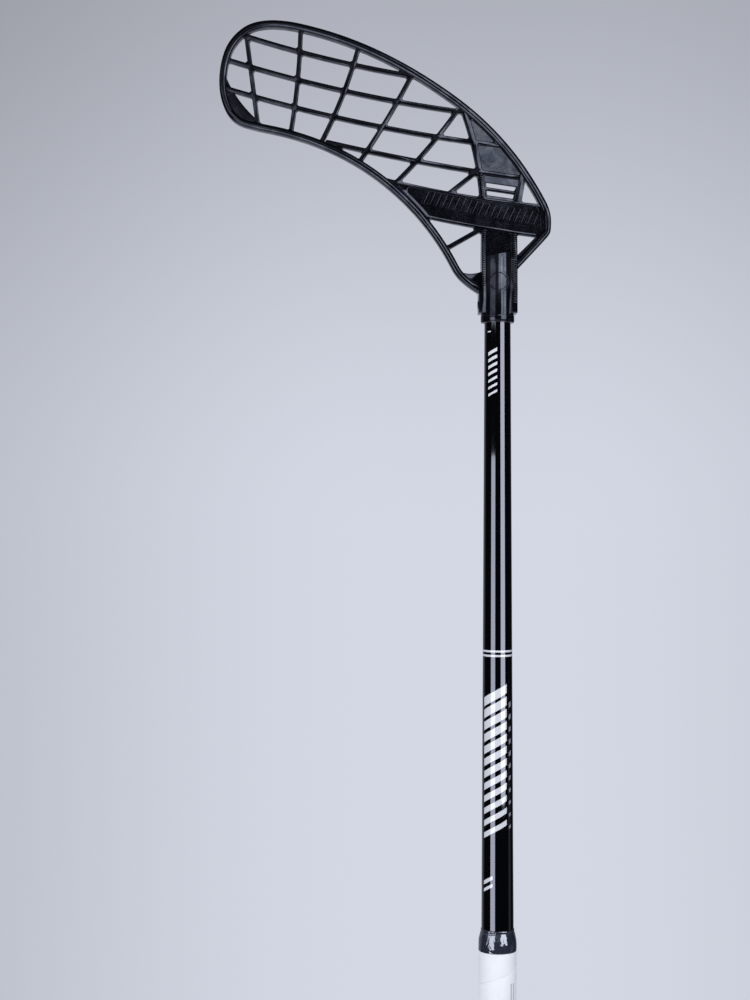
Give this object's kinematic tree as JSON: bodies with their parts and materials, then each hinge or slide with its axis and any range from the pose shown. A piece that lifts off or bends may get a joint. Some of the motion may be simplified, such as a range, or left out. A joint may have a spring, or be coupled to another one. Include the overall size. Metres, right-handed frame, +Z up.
{
  "type": "floorball stick",
  "caption": "Floorball stick with a hooked openwork blade, a tapered tubular shaft, a wound soft grip and a plug-in butt cap, swung two-handed to pass and shoot a light ball.",
  "frame": {"origin": "centre of the butt cap's end face, on the shaft axis", "axes": "+Z up the shaft axis to the blade, -X towards the toe of the blade, +Y the side that the blade's hook bends towards"},
  "size_m": [0.2392, 0.0283, 0.9989],
  "materials": {
    "blade_plastic": "satin black moulded polyethylene",
    "screw_steel": "blackened steel",
    "hot_melt_glue": "milky hot-melt glue",
    "shaft_lacquer": "gloss black lacquer over wound composite",
    "grip_band": "white soft foamed band",
    "tape_film": "dark glossy film tape",
    "cap_plastic": "matt black moulding"
  },
  "bodies": {
    "root": {"blade": "blade_plastic", "heel_side_screw": "screw_steel", "toe_side_screw": "screw_steel", "socket_glue_film": "hot_melt_glue", "shaft_tube": "shaft_lacquer", "grip_wrap": "grip_band", "grip_end_tape": "tape_film", "butt_cap": "cap_plastic"}
  },
  "joints": []
}
